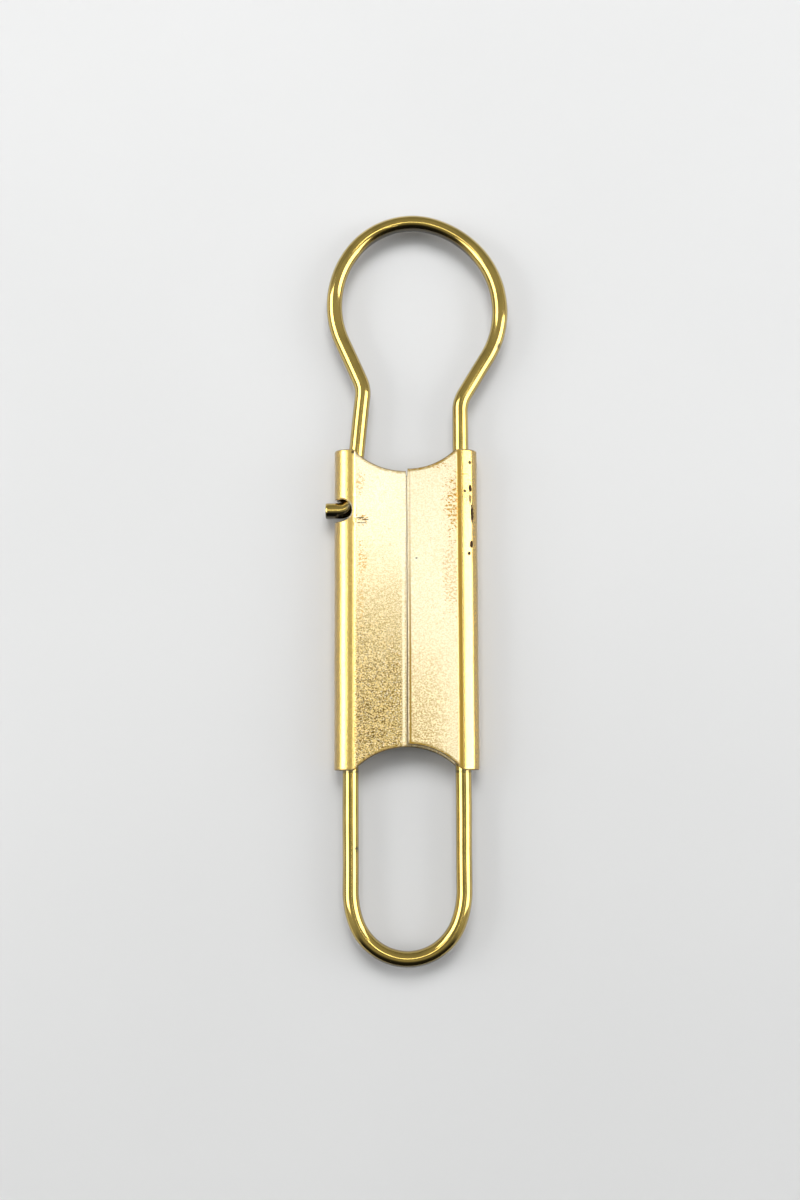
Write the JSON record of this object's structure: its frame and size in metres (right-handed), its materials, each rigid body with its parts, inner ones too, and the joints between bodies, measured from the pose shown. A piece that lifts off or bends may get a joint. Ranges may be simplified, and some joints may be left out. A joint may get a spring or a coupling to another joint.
{
  "type": "belt key clip",
  "caption": "Sprung brass wire clip with a round belt loop and a narrow key loop, locked shut by a folded sheet sleeve and the wire's own side pin.",
  "frame": {"origin": "under the middle of the whole clip, on the plane that the sleeve's back rests on", "axes": "+Y towards the belt loop, +X to the right seen from the seamed front, +Z out of the front"},
  "size_m": [0.0288, 0.1176, 0.0046],
  "materials": {
    "wire_brass": "polished drawn wire, tarnished to olive at its edges",
    "sleeve_brass": "satin rolled sheet with fine lengthwise grain and tarnish in its creases"
  },
  "bodies": {
    "frame": {"spine_wire": "wire_brass"},
    "sleeve": {"sleeve": "sleeve_brass"},
    "latch": {"latch_bow": "wire_brass", "latch_leg": "wire_brass"},
    "key_arm": {"key_arm": "wire_brass"}
  },
  "joints": [
    {"name": "sleeve_slide", "type": "slide", "parent": "frame", "child": "sleeve", "axis": [0, 1, 0], "range_m": [-0.016, 0.0065], "deforming": ["latch_leg"]},
    {"name": "latch_flex", "type": "hinge", "parent": "frame", "child": "latch", "pos_m": [-0.00377, 0.05716, 0.0023], "axis": [0, 0, 1], "range_deg": [-7, 3]},
    {"name": "key_flex", "type": "hinge", "parent": "frame", "child": "key_arm", "pos_m": [-0.00183, -0.05758, 0.0023], "axis": [0, 0, -1], "range_deg": [0, 6], "stiffness_Nm_per_rad": 2}
  ],
  "couplings": [
    {"joint": "latch_flex", "follows": "sleeve_slide", "rad_per_m": 7.5}
  ]
}
